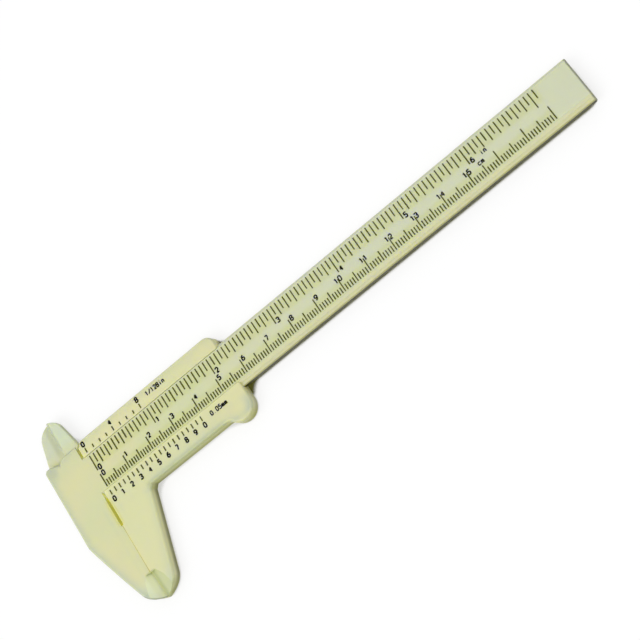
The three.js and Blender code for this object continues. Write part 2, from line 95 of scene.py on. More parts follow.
# Lettering, as in the part's source
NUMERAL_HEIGHT = 1.6 * MM
NUMERAL_WIDTH = 0.9 * MM
NUMERAL_PITCH = 1.45 * MM
NUMERAL_SIDE_STEP = 1.25 * MM
MM_NUMERAL_Y = -0.85 * MM
INCH_NUMERAL_Y = 1.45 * MM
MM_VERNIER_NUMERAL_Y = -10.05 * MM
INCH_VERNIER_NUMERAL_Y = 10.95 * MM
LABEL_HEIGHT = 1.4 * MM
LABEL_PITCH = 1.15 * MM
LABEL_WIDTH = 0.75 * MM
LABELS = {
    "unit_labels": (BEAM, [("cm", 157.8 * MM, -0.7 * MM), ("in", 160.2 * MM, 1.5 * MM)]),
    "mm_vernier_label": (SLIDER, [("0.05mm", 48.3 * MM, -8.4 * MM)]),
    "inch_vernier_label": (SLIDER, [("1/128in", 34.0 * MM, 10.4 * MM)]),
}

# Each character as chains of points, in shares of its width and height
CHARACTER_SHARES = {
    "0": [[(0.3, 0), (0.7, 0), (1, 0.2), (1, 0.8), (0.7, 1), (0.3, 1), (0, 0.8), (0, 0.2), (0.3, 0)]],
    "1": [[(0.15, 0.8), (0.5, 1), (0.5, 0)]],
    "2": [[(0, 0.78), (0.3, 1), (0.7, 1), (1, 0.78), (1, 0.58), (0, 0), (1, 0)]],
    "3": [
        [(0, 0.85), (0.3, 1), (0.7, 1), (1, 0.8), (1, 0.65), (0.7, 0.52), (0.4, 0.52)],
        [(0.7, 0.52), (1, 0.35), (1, 0.2), (0.7, 0), (0.3, 0), (0, 0.15)],
    ],
    "4": [[(0.75, 0), (0.75, 1), (0, 0.3), (1, 0.3)]],
    "5": [
        [(0.95, 1), (0.1, 1), (0.05, 0.55), (0.65, 0.62), (1, 0.42), (1, 0.2), (0.7, 0), (0.3, 0), (0, 0.15)],
    ],
    "6": [
        [(0.85, 1), (0.35, 0.85), (0, 0.45), (0, 0.2), (0.3, 0), (0.7, 0), (1, 0.2), (1, 0.4), (0.7, 0.58)],
        [(0.7, 0.58), (0.3, 0.58), (0, 0.4)],
    ],
    "7": [[(0, 1), (1, 1), (0.35, 0)]],
    "8": [
        [(0.3, 0.53), (0.05, 0.7), (0.05, 0.85), (0.3, 1), (0.7, 1), (0.95, 0.85), (0.95, 0.7), (0.7, 0.53)],
        [(0.3, 0.53), (0, 0.35), (0, 0.18), (0.3, 0), (0.7, 0), (1, 0.18), (1, 0.35), (0.7, 0.53)],
        [(0.3, 0.53), (0.7, 0.53)],
    ],
    "9": [
        [(0.15, 0), (0.65, 0.15), (1, 0.55), (1, 0.8), (0.7, 1), (0.3, 1), (0, 0.8), (0, 0.6), (0.3, 0.42)],
        [(0.3, 0.42), (0.7, 0.42), (1, 0.6)],
    ],
    ".": [[(0.5, 0), (0.5, 0.06)]],
    "/": [[(0, 0), (1, 1)]],
    "c": [[(1, 0.55), (0.7, 0.68), (0.3, 0.68), (0, 0.5), (0, 0.18), (0.3, 0), (0.7, 0), (1, 0.13)]],
    "m": [
        [(0, 0), (0, 0.68)],
        [(0, 0.55), (0.25, 0.68), (0.5, 0.55), (0.5, 0)],
        [(0.5, 0.55), (0.75, 0.68), (1, 0.55), (1, 0)],
    ],
    "n": [[(0.1, 0), (0.1, 0.68)], [(0.1, 0.5), (0.4, 0.68), (0.7, 0.68), (0.9, 0.5), (0.9, 0)]],
    "i": [[(0.5, 0), (0.5, 0.62)], [(0.5, 0.88), (0.5, 0.96)]],
}

# The ink's strokes are wider than the marks in the part, to match the heavy, blurred print of the
# photograph. They are pressed unevenly, and harder towards the jaws, from HEAVY_PRINT down to x = 0.
PRINT_DEPTH = 0.025 * MM
PRINT_SINK = 0.005 * MM
PRINTED_TICK = 0.43 * MM
PRINTED_STROKE = 0.46 * MM
PRINTED_LABEL = 0.36 * MM
PRINT_BEVEL_STEPS = 2
CORNER_CUT = 0.25
STROKE_PRESSES = (0.92, 1.08)
POINT_PRESSES = (0.95, 1.05)
HEAVY_PRESS = 0.26
HEAVY_PRINT = 90 * MM

# Tones of the two mouldings, as linear red, green and blue: two that cloud together, one towards the beam's
# free end and one where the blades are thin
BEAM_TONES = {
    "warm": (0.715, 0.705, 0.42),
    "green": (0.67, 0.7, 0.42),
    "far_end": (0.655, 0.685, 0.5),
    "thin": (0.65, 0.72, 0.54),
}
SLIDER_TONES = {
    "warm": (0.755, 0.73, 0.43),
    "green": (0.715, 0.725, 0.43),
    "far_end": (0.71, 0.7, 0.42),
    "thin": (0.64, 0.68, 0.51),
}
NIB_THINNESS = 0.9
TIP_THINNESS = 0.5

# Tints laid over the tones, each one's strength and its tone. Grain, upper_strip, printed_bands and ledge
# change the plastic's tone. Bevel and fixed_knife are painted highlights, and slot_sides and slot are painted
# light from the narrow gaps. All the others are painted shade on walls, roundings, rims, feet, ends, edges
# and the lines between parts.
SHADES = {
    "grain": (0.2, (0.74, 0.75, 0.47)),
    "upper_strip": (0.4, (0.63, 0.67, 0.43)),
    "printed_bands": (0.4, (0.6, 0.63, 0.22)),
    "rolled_edge": (0.5, (0.43, 0.45, 0.14)),
    "bevel": (1.0, (0.85, 0.83, 0.53)),
    "ledge": (0.9, (0.67, 0.66, 0.4)),
    "ledge_rim": (0.8, (0.24, 0.24, 0.05)),
    "wall": (0.5, (0.7, 0.69, 0.33)),
    "rounding": (1.0, (0.5, 0.53, 0.36)),
    "rim_shade": (1.0, (0.48, 0.56, 0.46)),
    "outline": (1.0, (0.26, 0.28, 0.2)),
    "near_side": (1.0, (0.34, 0.36, 0.05)),
    "foot": (1.0, (0.08, 0.08, 0.008)),
    "beam_side": (1.0, (0.05, 0.05, 0.003)),
    "end_shade": (0.8, (0.2, 0.21, 0.15)),
    "jaw_line": (0.7, (0.3, 0.29, 0.08)),
    "moving_knife": (0.7, (0.53, 0.58, 0.31)),
    "fixed_knife": (0.6, (0.87, 0.92, 0.66)),
    "beside_valley": (0.3, (0.58, 0.6, 0.3)),
    "knife_lines": (1.0, (0.42, 0.47, 0.22)),
    "nib_slope": (0.7, (0.42, 0.46, 0.3)),
    "nib_line": (0.5, (0.46, 0.5, 0.3)),
    "sharp_edge": (1.0, (0.24, 0.26, 0.2)),
    "toe_line": (0.75, (0.22, 0.24, 0.19)),
    "nib_wall": (0.45, (0.26, 0.28, 0.17)),
    "slot_sides": (0.55, (0.69, 0.67, 0.17)),
    "slot": (0.8, (0.74, 0.7, 0.13)),
}

# How much of a shade there is without a mask and with it
AMOUNTS = {
    "rounding_on_jaw": (0.5, 0.15),
    "thin_on_wall": (1.0, 0.3),
    "rim_near_top": (1.0, 0.5),
    "rim_on_jaw": (0.8, 0.3),
    "outline_at_toe": (0.12, 0.42),
    "outline_on_jaw": (1.0, 0.3),
    "near_side_low": (0.4, 0.75),
    "foot_on_near_side": (0.74, 0.39),
    "foot_far_along": (1.0, 0.5),
    "glow_in_slot": (0.35, 1.0),
    "glow_near_top": (1.0, 0.5),
    "ink_worn_in_patch": (0.35, 0.85),
}
VALLEY_SHADE = 0.72
KNIFE_START_SHADE = 0.5
NIB_EDGE_SHADE = 0.6
TOE_EDGE_SHADE = 0.4

# Lines that some masks lie around, along the beam or across it
LOW_BAND = -3.8 * MM
HIGH_BAND = 3.9 * MM
VALLEY = 0.4 * MM
BESIDE_VALLEY = -1.5 * MM
NIB_LINE = -7.5 * MM

# Where each mask begins and where it is whole, in millimetres along the beam, across it or up
FADES_MM = {
    "far_end": (0, 120),
    "front": (1, 1.4),
    "nib_root": (10, 17),
    "nib_end": (1.2, 2.5),
    "tips": (-44, -34),
    "toe": (-42, -40),
    "jaw_start": (0, 2),
    "jaw_root": (-16, -14.5),
    "upper_strip": (4, 9),
    "low_band": (1.2, 3),
    "high_band": (1.4, 3),
    "scale_face": (4.6, 4.8),
    "print_start": (2, 3),
    "print_end": (182, 184),
    "rolled_edge": (12, 13.9),
    "past_jaw": (13.5, 15.5),
    "thumb_rest": (45, 49),
    "below_face": (4.85, 4.97),
    "below_print": (-6, -5.7),
    "past_head": (0.5, 1.5),
    "ledge_rim": (-7.95, -7.5),
    "rounding": (4, 4.3),
    "head_side": (-11, -9),
    "nib_zone": (11.5, 13),
    "nib_zone_end": (-1, 1),
    "off_beam": (9, 13),
    "off_slot": (2, 3.2),
    "towards_top": (4, 8),
    "clear_of_beam": (9, 9.5),
    "shaded_height": (0.5, 4.2),
    "foot": (1.4, 3.7),
    "far_along": (20, 40),
    "beam_side": (3.4, 4.05),
    "jaw_line": (0.06, 0.2),
    "jaw_face_top": (-18.6, -18),
    "knives": (-36.6, -36),
    "valley": (0.2, 1.6),
    "knife_width": (4, 5.8),
    "moving_knife": (0, 0.3),
    "knife_start": (0.15, 0.7),
    "knife_start_width": (1.2, 2.4),
    "beside_valley": (0.3, 1.8),
    "nib_slope": (4.3, 4.9),
    "nib_line": (0.2, 1.5),
    "toe_edge": (0.6, 1.2),
    "fixed_toe": (0, 1),
    "in_slot": (1, 1.5),
    "slot_height": (1.2, 3.2),
    "slot_top": (0, 6),
    "slot_sides": (0.8, 1.8),
    "slot_low_end": (-19, -17.5),
    "slot_high_end": (-9.5, -8.5),
    "floor_off_beam": (10, 11.5),
    "floor_past_head": (5, 12),
}
FADES = {name: (low * MM, high * MM) for name, (low, high) in FADES_MM.items()}
FADES["above_ledge"] = (LEDGE + 0.02 * MM, LEDGE + 0.08 * MM)
FADES["on_ledge"] = (LEDGE, LEDGE + 0.06 * MM)
FADES["end_shade"] = (BEAM_END - 0.8 * MM, BEAM_END - 0.3 * MM)

# The same for masks that are no distance: noises, how steep a face is from 0 to 1, how thin or closed in
FADES.update({
    "clouds": (0.35, 0.65),
    "grain": (0.55, 0.8),
    "wall": (0.6, 1.0),
    "near_facing": (0.4, 0.9),
    "rounded_face": (0.04, 0.4),
    "knife_face": (0.05, 0.08),
    "nib_face": (0.1, 0.3),
    "thin": (0.08, 0.5),
    "thinnest": (0.4, 0.55),
    "sharp_edge": (0.02, 0.2),
    "toe_curve": (0.8, 0.95),
    "toe_drop": (0.0, 0.2),
    "closed_in": (0.5, 0.95),
    "ink_patch": (0.45, 0.75),
    "floor_clouds": (0.3, 0.7),
    "floor_open": (0.46, 0.58),
})

# The plastic's surface
CLOUD_SCALE = 38.0
GRAIN_SCALE = 1400.0
GRAIN_DETAIL = 4.0
GRAIN_BUMP = (0.1, 0.04 * MM)
FLOW_SCALE = 160.0
FLOW_DETAIL = 2.0
FLOW_STRETCH = (0.35, 1, 1)
FLOW_BUMP = (0.12, 0.3 * MM)
SOFT_EDGE = 0.1 * MM
SHARP_EDGE_REACH = 0.6 * MM
BEVEL_SAMPLES = 6
THIN_REACH = 4 * MM
THIN_SAMPLES = 5
SLOT_REACH = 1.6 * MM
SLOT_SAMPLES = 6
# Painted glow in the narrow gaps, standing in for light that comes through the plastic
SLOT_GLOW = (0.42, 0.41, 0.04)
PLASTIC_ROUGHNESS = 0.36
ROUGHNESS_SPREAD = 0.18
ROUGHNESS_SCALE = 420.0
JAW_LINE_ROUGHNESS = 0.4

# The ink: its own tone, the tone of the plastic that shows through, and how worn it is
TICK_INK = ((0.09, 0.095, 0.012), (0.27, 0.28, 0.06), 0.08)
NUMERAL_INK = ((0.014, 0.014, 0.008), (0.12, 0.13, 0.05), 0.0)
SPECK_SCALE = 2600.0
SPECK_DETAIL = 4.0
SPECK_LIMITS = (0.62, 0.8)
SPECK_BUMP = (0.2, 0.02 * MM)
PATCH_SCALE = 90.0
INK_ROUGHNESS = 0.55
INK_ROUGHNESS_SPREAD = 0.25
INK_ROUGHNESS_SCALE = 900.0

# Studio
CAMERA_PLACE = Vector((192.85, -142.2, 395.14)) * MM
CAMERA_TARGET = Vector((90.81, -7.24, 5.0)) * MM
CAMERA_UP = Vector((0.61366, 0.78188, 0.10996))
CAMERA_LENS_MM = 79.26
SENSOR_MM = 36.0
CLIP_START = 0.01
FLOOR_HALF_SIZE = 2.0
FLOOR_BELOW = 0.02 * MM
FLOOR_BOUNCE = 0.75
FLOOR_CREVICE = 4.5 * MM
FLOOR_SAMPLES = 24
FLOOR_OPEN_OFF_BEAM = 0.7
FLOOR_SHOWN = 0.26
FLOOR_CLOUD_SCALE = 6.0
FLOOR_CLOUD_SHARE = 0.98
FLOOR_ROUGHNESS = 0.9
FLOOR_GLOW = 0.75
FLOOR_UNDER = (0.05, 0.05, 0.01)
SKY_STRENGTH = 0.76
KEY_STRENGTH = 0.95
KEY_FROM = Vector((-0.6, -0.3, 1.0))
KEY_ANGLE = 0.8

# Sockets of a Mix node that mixes colours
MIX_FIRST = 6
MIX_SECOND = 7
MIX_RESULT = 2


class Wire:
    """A socket's value in arithmetic: each operation adds a Math node to its tree."""

    def __init__(self, nodes, socket):
        self.nodes = nodes
        self.socket = socket

    def joined(self, operation, first, second):
        return self.nodes.node("ShaderNodeMath", {"operation": operation}, {0: first, 1: second})

    def __add__(self, other):
        return self.joined("ADD", self, other)

    def __radd__(self, other):
        return self.joined("ADD", other, self)

    def __sub__(self, other):
        return self.joined("SUBTRACT", self, other)

    def __rsub__(self, other):
        return self.joined("SUBTRACT", other, self)

    def __mul__(self, other):
        return self.joined("MULTIPLY", self, other)

    def __rmul__(self, other):
        return self.joined("MULTIPLY", other, self)

    def __pow__(self, other):
        return self.joined("POWER", self, other)


class Nodes:
    """A node tree under construction, whose nodes all come from node()."""

    def __init__(self, tree):
        self.tree = tree

    def node(self, kind, settings=None, inputs=None, output=0):
        made = self.tree.nodes.new(kind)
        for key, value in (settings or {}).items():
            setattr(made, key, value)
        for key, value in (inputs or {}).items():
            self.feed(made.inputs[key], value)
        return Wire(self, made.outputs[output])

    def feed(self, socket, value):
        if isinstance(value, Wire):
            self.tree.links.new(value.socket, socket)
        else:
            socket.default_value = value

    def seen_directly(self):
        """1 for rays from the camera, mirrors and glass, and 0 for light that bounces."""
        seen = self.node("ShaderNodeLightPath", output="Is Camera Ray")
        for ray in ("Is Glossy Ray", "Is Transmission Ray"):
            seen = seen.joined("MAXIMUM", seen, self.node("ShaderNodeLightPath", output=ray))
        return seen


class Finish(Nodes):
    """A material under construction, with its principled shader."""

    def __init__(self, name):
        self.material = bpy.data.materials.new(name)
        self.material.use_nodes = True
        super().__init__(self.material.node_tree)
        self.shader = self.tree.nodes["Principled BSDF"]

    def set(self, **inputs):
        for key, value in inputs.items():
            self.feed(self.shader.inputs[key.replace("_", " ")], value)

    def place(self):
        return self.node("ShaderNodeTexCoord", output="Object")

    def noise(self, scale, detail=3.0, stretch=(1, 1, 1)):
        place = self.node("ShaderNodeMapping", {}, {"Vector": self.place(), "Scale": stretch})
        return self.node("ShaderNodeTexNoise", {}, {"Vector": place, "Scale": scale, "Detail": detail})

    def between(self, value, low, high):
        """0 below low, 1 above high, and even between them."""
        settings = {"interpolation_type": "SMOOTHSTEP"}
        inputs = {"Value": value, "From Min": low, "From Max": high}
        return self.node("ShaderNodeMapRange", settings, inputs)

    def past(self, value, fade):
        """0 up to the first of a named pair, and 1 past the second."""
        return self.between(value, *FADES[fade])

    def until(self, value, fade):
        """1 up to the first of a named pair, and 0 past the second."""
        return 1 - self.past(value, fade)

    def amount(self, mask, name):
        """The first of a named pair where the mask is 0, and the second where it is 1."""
        without, with_mask = AMOUNTS[name]
        return without + mask * (with_mask - without)

    def either(self, first, second):
        return first + (1 - first) * second

    def mix(self, factor, first, second):
        inputs = {"Factor": factor, MIX_FIRST: first, MIX_SECOND: second}
        return self.node("ShaderNodeMix", {"data_type": "RGBA"}, inputs, output=MIX_RESULT)

    def bump(self, height, size, normal=None):
        strength, distance = size
        inputs = {"Height": height, "Strength": strength, "Distance": distance}
        if normal:
            inputs["Normal"] = normal
        return self.node("ShaderNodeBump", {}, inputs)

    def axis_of(self, vector, axis):
        return self.node("ShaderNodeSeparateXYZ", {}, {0: vector}, output=axis)

    def size_of(self, value):
        return self.node("ShaderNodeMath", {"operation": "ABSOLUTE"}, {0: value})


def colour(red, green, blue):
    return (red, green, blue, 1.0)


def grey(level):
    return colour(level, level, level)


class Moulding(Finish):
    """Pale, slightly see-through plastic, with tints, painted shade and painted light laid over its tones by
    where its faces lie and by how they turn.

    Each is laid over those before it, so the order in which the methods are called matters.
    """

    def __init__(self, name, tones):
        super().__init__(name)
        place = self.place()
        self.along, self.across, self.up = (self.axis_of(place, axis) for axis in "XYZ")
        self.off_plane = self.size_of(self.along)
        self.off_line = self.size_of(self.across)
        self.flank = self.node("ShaderNodeNewGeometry", output="Normal")
        self.steep = 1 - self.size_of(self.axis_of(self.flank, "Z"))
        self.grain = self.noise(GRAIN_SCALE, GRAIN_DETAIL)

        self.front = self.past(self.up, "front")
        self.wall = self.past(self.steep, "wall")
        self.near_facing = self.past(0 - self.axis_of(self.flank, "Y"), "near_facing")
        self.nibs = self.past(self.across, "nib_root") * self.until(self.along, "nib_end")
        self.toe = self.until(self.across, "toe")
        self.jaw = self.past(self.along, "jaw_start") * self.until(self.across, "jaw_root")
        # Where the jaws meet: painted shade there, and a rougher surface
        self.jaw_line = self.until(self.off_plane, "jaw_line") * self.until(self.across, "jaw_face_top")

        clouds = self.past(self.noise(CLOUD_SCALE), "clouds")
        tips = self.until(self.across, "tips")
        self.body = self.mix(clouds, colour(*tones["warm"]), colour(*tones["green"]))
        self.cover(self.past(self.along, "far_end"), tones["far_end"])
        self.shade("grain", self.past(self.grain, "grain"))
        self.cover(self.nibs * NIB_THINNESS + tips * TIP_THINNESS, tones["thin"])

    def cover(self, mask, tone):
        self.body = self.mix(mask, self.body, colour(*tone))

    def shade(self, name, mask):
        strength, tone = SHADES[name]
        self.cover(mask * strength, tone)

    def scale_face(self):
        """The beam's strip above the print and its two printed bands."""
        self.shade("upper_strip", self.past(self.across, "upper_strip") * (1 - self.nibs))
        low_band = self.until(self.size_of(self.across - LOW_BAND), "low_band")
        high_band = self.until(self.size_of(self.across - HIGH_BAND), "high_band")
        printed = (low_band + high_band) * self.past(self.up, "scale_face")
        printed = printed * self.past(self.along, "print_start") * self.until(self.along, "print_end")
        self.shade("printed_bands", printed)

    def ledge(self):
        """A painted highlight on the bevel below the beam's scale face, the tone of the ledge at its foot,
        and painted shade on the ledge's rim.
        """
        below = self.until(self.up, "below_face") * self.until(self.across, "below_print")
        below = below * self.past(self.along, "past_head")
        flat = below * self.until(self.up, "on_ledge")
        self.shade("bevel", below * self.past(self.up, "above_ledge"))
        self.shade("ledge", flat)
        self.shade("ledge_rim", flat * self.until(self.across, "ledge_rim"))

    def rolled_edge(self):
        """Painted shade on the slider's rounded lower edge, from the jaw to the thumb rest."""
        rolled = self.past(0 - self.across, "rolled_edge") * self.past(self.along, "past_jaw")
        self.shade("rolled_edge", rolled * self.until(self.along, "thumb_rest"))

    def edges(self):
        """Painted shade on walls and top roundings, and a darker rim and outline towards the outer edges."""
        rounding = self.past(self.steep, "rounded_face") * self.past(self.up, "rounding")
        self.shade("wall", self.wall)
        self.shade("rounding", rounding * self.amount(self.jaw, "rounding_on_jaw"))

        settings = {"samples": THIN_SAMPLES, "inside": True, "only_local": True}
        inputs = {"Distance": THIN_REACH}
        depth = self.node("ShaderNodeAmbientOcclusion", settings, inputs, output="AO")
        head_side = self.until(self.along, "head_side")
        nib_zone = self.past(self.across, "nib_zone") * self.until(self.along, "nib_zone_end")
        outer = self.either(head_side, self.past(self.off_line, "off_beam")) * (1 - nib_zone)
        off_wall = self.amount(self.wall, "thin_on_wall")

        rim = self.past(1 - depth, "thin") * outer * off_wall * self.past(self.off_plane, "off_slot")
        rim = rim * self.amount(self.past(self.across, "towards_top"), "rim_near_top")
        outline = self.past(1 - depth, "thinnest") * outer * off_wall
        outline = outline * self.amount(self.toe, "outline_at_toe")
        self.shade("rim_shade", rim * self.amount(self.jaw, "rim_on_jaw"))
        self.shade("outline", outline * self.amount(self.jaw, "outline_on_jaw"))

    def sides(self):
        """Painted shade on walls that face the lower edge, and at the foot of every wall."""
        near_side = self.near_facing * self.past(self.off_line, "clear_of_beam")
        low = self.until(self.up, "shaded_height")
        foot = self.wall * self.until(self.up, "foot")
        foot = foot * self.amount(near_side, "foot_on_near_side")
        foot = foot * self.amount(self.past(self.along, "far_along"), "foot_far_along")
        self.shade("near_side", near_side * self.amount(low, "near_side_low"))
        self.shade("foot", foot)

    def beam_side(self):
        """Painted shade on the beam's wall on its lower edge, and on its end.

        The wall is painted nearly black, as painted shade that draws the photograph's dark line there. That
        isn't the plastic's own colour, and shows as paint from low on that side.
        """
        side = self.near_facing * self.past(self.along, "past_head")
        side = side * self.until(self.off_line, "clear_of_beam")
        self.shade("beam_side", side * self.until(self.up, "beam_side"))
        self.shade("end_shade", self.past(self.along, "end_shade"))

    def jaw_faces(self):
        """Painted shade on the line where the jaws meet, on the moving knife, beside and in the valley and at
        the knives' start, and a painted highlight on the fixed knife.
        """
        at_knives = self.until(self.across, "knives")
        valley = at_knives * self.front * self.until(self.size_of(self.along - VALLEY), "valley")
        sloped = at_knives * self.past(self.steep, "knife_face") * (1 - self.wall)
        sloped = sloped * self.until(self.off_plane, "knife_width")
        moving = sloped * self.past(self.along, "moving_knife")
        fixed = sloped - moving
        beside = self.until(self.size_of(self.along - BESIDE_VALLEY), "beside_valley")
        start = self.until(self.size_of(self.across + KNIFE_START), "knife_start") * self.front
        start = start * self.until(self.off_plane, "knife_start_width")

        self.shade("jaw_line", self.jaw_line)
        self.shade("moving_knife", moving)
        self.shade("fixed_knife", fixed)
        self.shade("beside_valley", fixed * beside)
        self.shade("knife_lines", valley * VALLEY_SHADE + start * KNIFE_START_SHADE)

    def nib_slope(self):
        """Painted shade on the sloped face of the beam's nib."""
        slope = self.nibs * self.front * self.past(self.steep, "nib_face")
        self.shade("nib_slope", slope * self.past(0 - self.along, "nib_slope"))

    def nib_line(self):
        """A painted shadow in a line along the slider's nib."""
        line = self.until(self.size_of(self.along - NIB_LINE), "nib_line")
        self.shade("nib_line", self.nibs * self.front * line)

    def blade_edges(self):
        """Painted shade in dark lines along the sharp edges of nibs and toes and the curve around the toes,
        and on the nibs' walls.
        """
        settings = {"samples": BEVEL_SAMPLES}
        turned = self.node("ShaderNodeBevel", settings, {"Radius": SHARP_EDGE_REACH})
        aligned = self.node(
            "ShaderNodeVectorMath", {"operation": "DOT_PRODUCT"}, {0: turned, 1: self.flank}, output="Value"
        )
        blades = self.nibs * NIB_EDGE_SHADE
        blades = blades + self.toe * self.past(self.off_plane, "toe_edge") * TOE_EDGE_SHADE
        self.shade("sharp_edge", self.past(1 - aligned, "sharp_edge") * blades)

        drop = (0 - self.across - TOE_START) * (1 / TOE_LENGTH)
        curve = (self.off_plane * (1 / TOE_HALF_WIDTH)) ** TOE_CURVE + drop ** TOE_CURVE
        line = self.past(curve, "toe_curve") * self.past(drop, "toe_drop") * (1 - self.wall)
        self.shade("toe_line", line * self.front * self.until(self.along, "fixed_toe"))
        self.shade("nib_wall", self.nibs * self.wall)

    def slot(self):
        """Painted light in the narrow gaps: a yellow tint beside the slot, a brighter yellow where the gaps
        are closed in, and the mask for their glow.
        """
        settings = {"samples": SLOT_SAMPLES}
        inputs = {"Distance": SLOT_REACH}
        open_sky = self.node("ShaderNodeAmbientOcclusion", settings, inputs, output="AO")
        deep = self.past(1 - open_sky, "closed_in") * self.past(self.up, "slot_height")
        deep = deep * self.amount(self.until(self.off_plane, "in_slot"), "glow_in_slot")
        deep = deep * self.amount(self.past(self.across, "slot_top"), "glow_near_top")
        beside = self.until(self.off_plane, "slot_sides") * self.past(self.across, "slot_low_end")
        self.shade("slot_sides", beside * self.until(self.across, "slot_high_end"))
        self.shade("slot", deep)
        return deep

    def surface(self, lit):
        flow = self.noise(FLOW_SCALE, FLOW_DETAIL, FLOW_STRETCH)
        rounded = self.node("ShaderNodeBevel", {"samples": BEVEL_SAMPLES}, {"Radius": SOFT_EDGE})
        waved = self.bump(flow, FLOW_BUMP, rounded)
        roughness = PLASTIC_ROUGHNESS + self.noise(ROUGHNESS_SCALE) * ROUGHNESS_SPREAD
        self.set(
            Base_Color=self.body,
            Roughness=roughness + self.jaw_line * JAW_LINE_ROUGHNESS,
            Normal=self.bump(self.grain, GRAIN_BUMP, waved),
            # The painted glow of the narrow gaps
            Emission_Color=self.mix(lit, grey(0.0), colour(*SLOT_GLOW)),
            Emission_Strength=1.0,
            IOR=1.49,
            Specular_IOR_Level=0.35,
            Subsurface_Weight=1.0,
            Subsurface_Radius=(1.0, 0.9, 0.3),
            Subsurface_Scale=0.7 * MM,
        )
        return self.material


def beam_plastic():
    plastic = Moulding("beam_plastic", BEAM_TONES)
    plastic.scale_face()
    plastic.ledge()
    plastic.edges()
    plastic.sides()
    plastic.beam_side()
    plastic.jaw_faces()
    plastic.nib_slope()
    plastic.blade_edges()
    return plastic.surface(plastic.slot())


def slider_plastic():
    plastic = Moulding("slider_plastic", SLIDER_TONES)
    plastic.rolled_edge()
    plastic.edges()
    plastic.sides()
    plastic.jaw_faces()
    plastic.nib_line()
    plastic.blade_edges()
    return plastic.surface(plastic.slot())


def stamped_ink(name, dark, plastic, wear):
    """Dark print, with specks where the plastic shows through."""
    finish = Finish(name)
    low, high = SPECK_LIMITS
    speck = finish.between(finish.noise(SPECK_SCALE, SPECK_DETAIL), low - wear, high - wear)
    patch = finish.past(finish.noise(PATCH_SCALE), "ink_patch")
    worn = speck * finish.amount(patch, "ink_worn_in_patch")
    finish.set(
        Base_Color=finish.mix(worn, colour(*dark), colour(*plastic)),
        Roughness=INK_ROUGHNESS + finish.noise(INK_ROUGHNESS_SCALE) * INK_ROUGHNESS_SPREAD,
        Normal=finish.bump(speck, SPECK_BUMP),
        Specular_IOR_Level=0.03,
    )
    return finish.material


def print_piece(name, chains, width, node, material):
    """Strokes along chains of points, printed on the scale face of a CAD node and riding on its body."""
    uneven = random.Random(len(chains))
    curve = bpy.data.curves.new(name, "CURVE")
    curve.dimensions = "3D"
    curve.bevel_depth = width / 2
    curve.bevel_resolution = PRINT_BEVEL_STEPS
    curve.use_fill_caps = True
    for chain in chains:
        chain = eased(chain)
        spline = curve.splines.new("POLY")
        spline.points.add(len(chain) - 1)
        heavy = max(0.0, 1 - chain[0][0] / HEAVY_PRINT)
        pressed = uneven.uniform(*STROKE_PRESSES) + HEAVY_PRESS * heavy
        for point, (x, y) in zip(spline.points, chain):
            point.co = (x, y, 0, 1)
            point.radius = pressed * uneven.uniform(*POINT_PRESSES)
    drawn = bpy.data.objects.new(name + "_line", curve)
    bpy.context.scene.collection.objects.link(drawn)
    mesh = bpy.data.meshes.new_from_object(drawn.evaluated_get(bpy.context.evaluated_depsgraph_get()))
    bpy.data.objects.remove(drawn)
    flat = PRINT_DEPTH / (width / 2)
    raised = Matrix.Translation((0, 0, SCALE_FACE - PRINT_SINK))
    mesh.transform(raised @ Matrix.Diagonal((1, 1, flat, 1)))
    mesh.name = name
    piece = bpy.data.objects.new(name, mesh)
    bpy.context.scene.collection.objects.link(piece)
    mesh.materials.clear()
    mesh.materials.append(material)
    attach(piece, "beam" if node == BEAM else "slider")


def eased(chain):
    """The chain with its corners cut, as a print rounds them."""
    if len(chain) < 3:
        return chain
    near, far = 1 - CORNER_CUT, CORNER_CUT
    points = [chain[0]]
    for (x0, y0), (x1, y1) in zip(chain, chain[1:]):
        points.append((x0 * near + x1 * far, y0 * near + y1 * far))
        points.append((x0 * far + x1 * near, y0 * far + y1 * near))
    points.append(chain[-1])
    return points


def tick(x, foot, length):
    return [(x, foot), (x, foot + length)]


def character(text, x, y, width, height):
    return [
        [(x + (across - 0.5) * width, y + (up - 0.5) * height) for across, up in chain]
        for chain in CHARACTER_SHARES[text]
    ]


def words(text, x, y, pitch, width, height):
    first = x - pitch * (len(text) - 1) / 2
    return [
        chain for i, one in enumerate(text) for chain in character(one, first + i * pitch, y, width, height)
    ]


def numeral(number, x, y):
    return words(str(number), x, y, NUMERAL_PITCH, NUMERAL_WIDTH, NUMERAL_HEIGHT)


def millimetre_tick_length(step):
    if step % 10 == 0:
        return MM_TICKS["ten"]
    return MM_TICKS["five"] if step % 5 == 0 else MM_TICKS["unit"]


def inch_tick_length(step):
    if step % INCH_PARTS == 0:
        return INCH_TICKS["inch"]
    return INCH_TICKS["eighth"] if step % 2 == 0 else INCH_TICKS["sixteenth"]


def main_scales(tick_ink, numeral_ink):
    ticks = [
        tick(SCALE_ZERO + step * MM, MM_TICK_FOOT, millimetre_tick_length(step))
        for step in range(MM_STEPS + 1)
    ]
    print_piece("mm_scale_ticks", ticks, PRINTED_TICK, BEAM, tick_ink)
    ticks = [
        tick(SCALE_ZERO + step * INCH / INCH_PARTS, INCH_TICK_FOOT, -inch_tick_length(step))
        for step in range(INCH_STEPS + 1)
    ]
    print_piece("inch_scale_ticks", ticks, PRINTED_TICK, BEAM, tick_ink)

    centimetres = []
    for number in range(CM_NUMBERS + 1):
        beside = NUMERAL_SIDE_STEP if number < 10 else 0
        centimetres += numeral(number, SCALE_ZERO + number * 10 * MM + beside, MM_NUMERAL_Y)
    print_piece("cm_numerals", centimetres, PRINTED_STROKE, BEAM, numeral_ink)
    inches = []
    for number in range(INCH_NUMBERS + 1):
        inches += numeral(number, SCALE_ZERO + number * INCH + NUMERAL_SIDE_STEP, INCH_NUMERAL_Y)
    print_piece("inch_numerals", inches, PRINTED_STROKE, BEAM, numeral_ink)


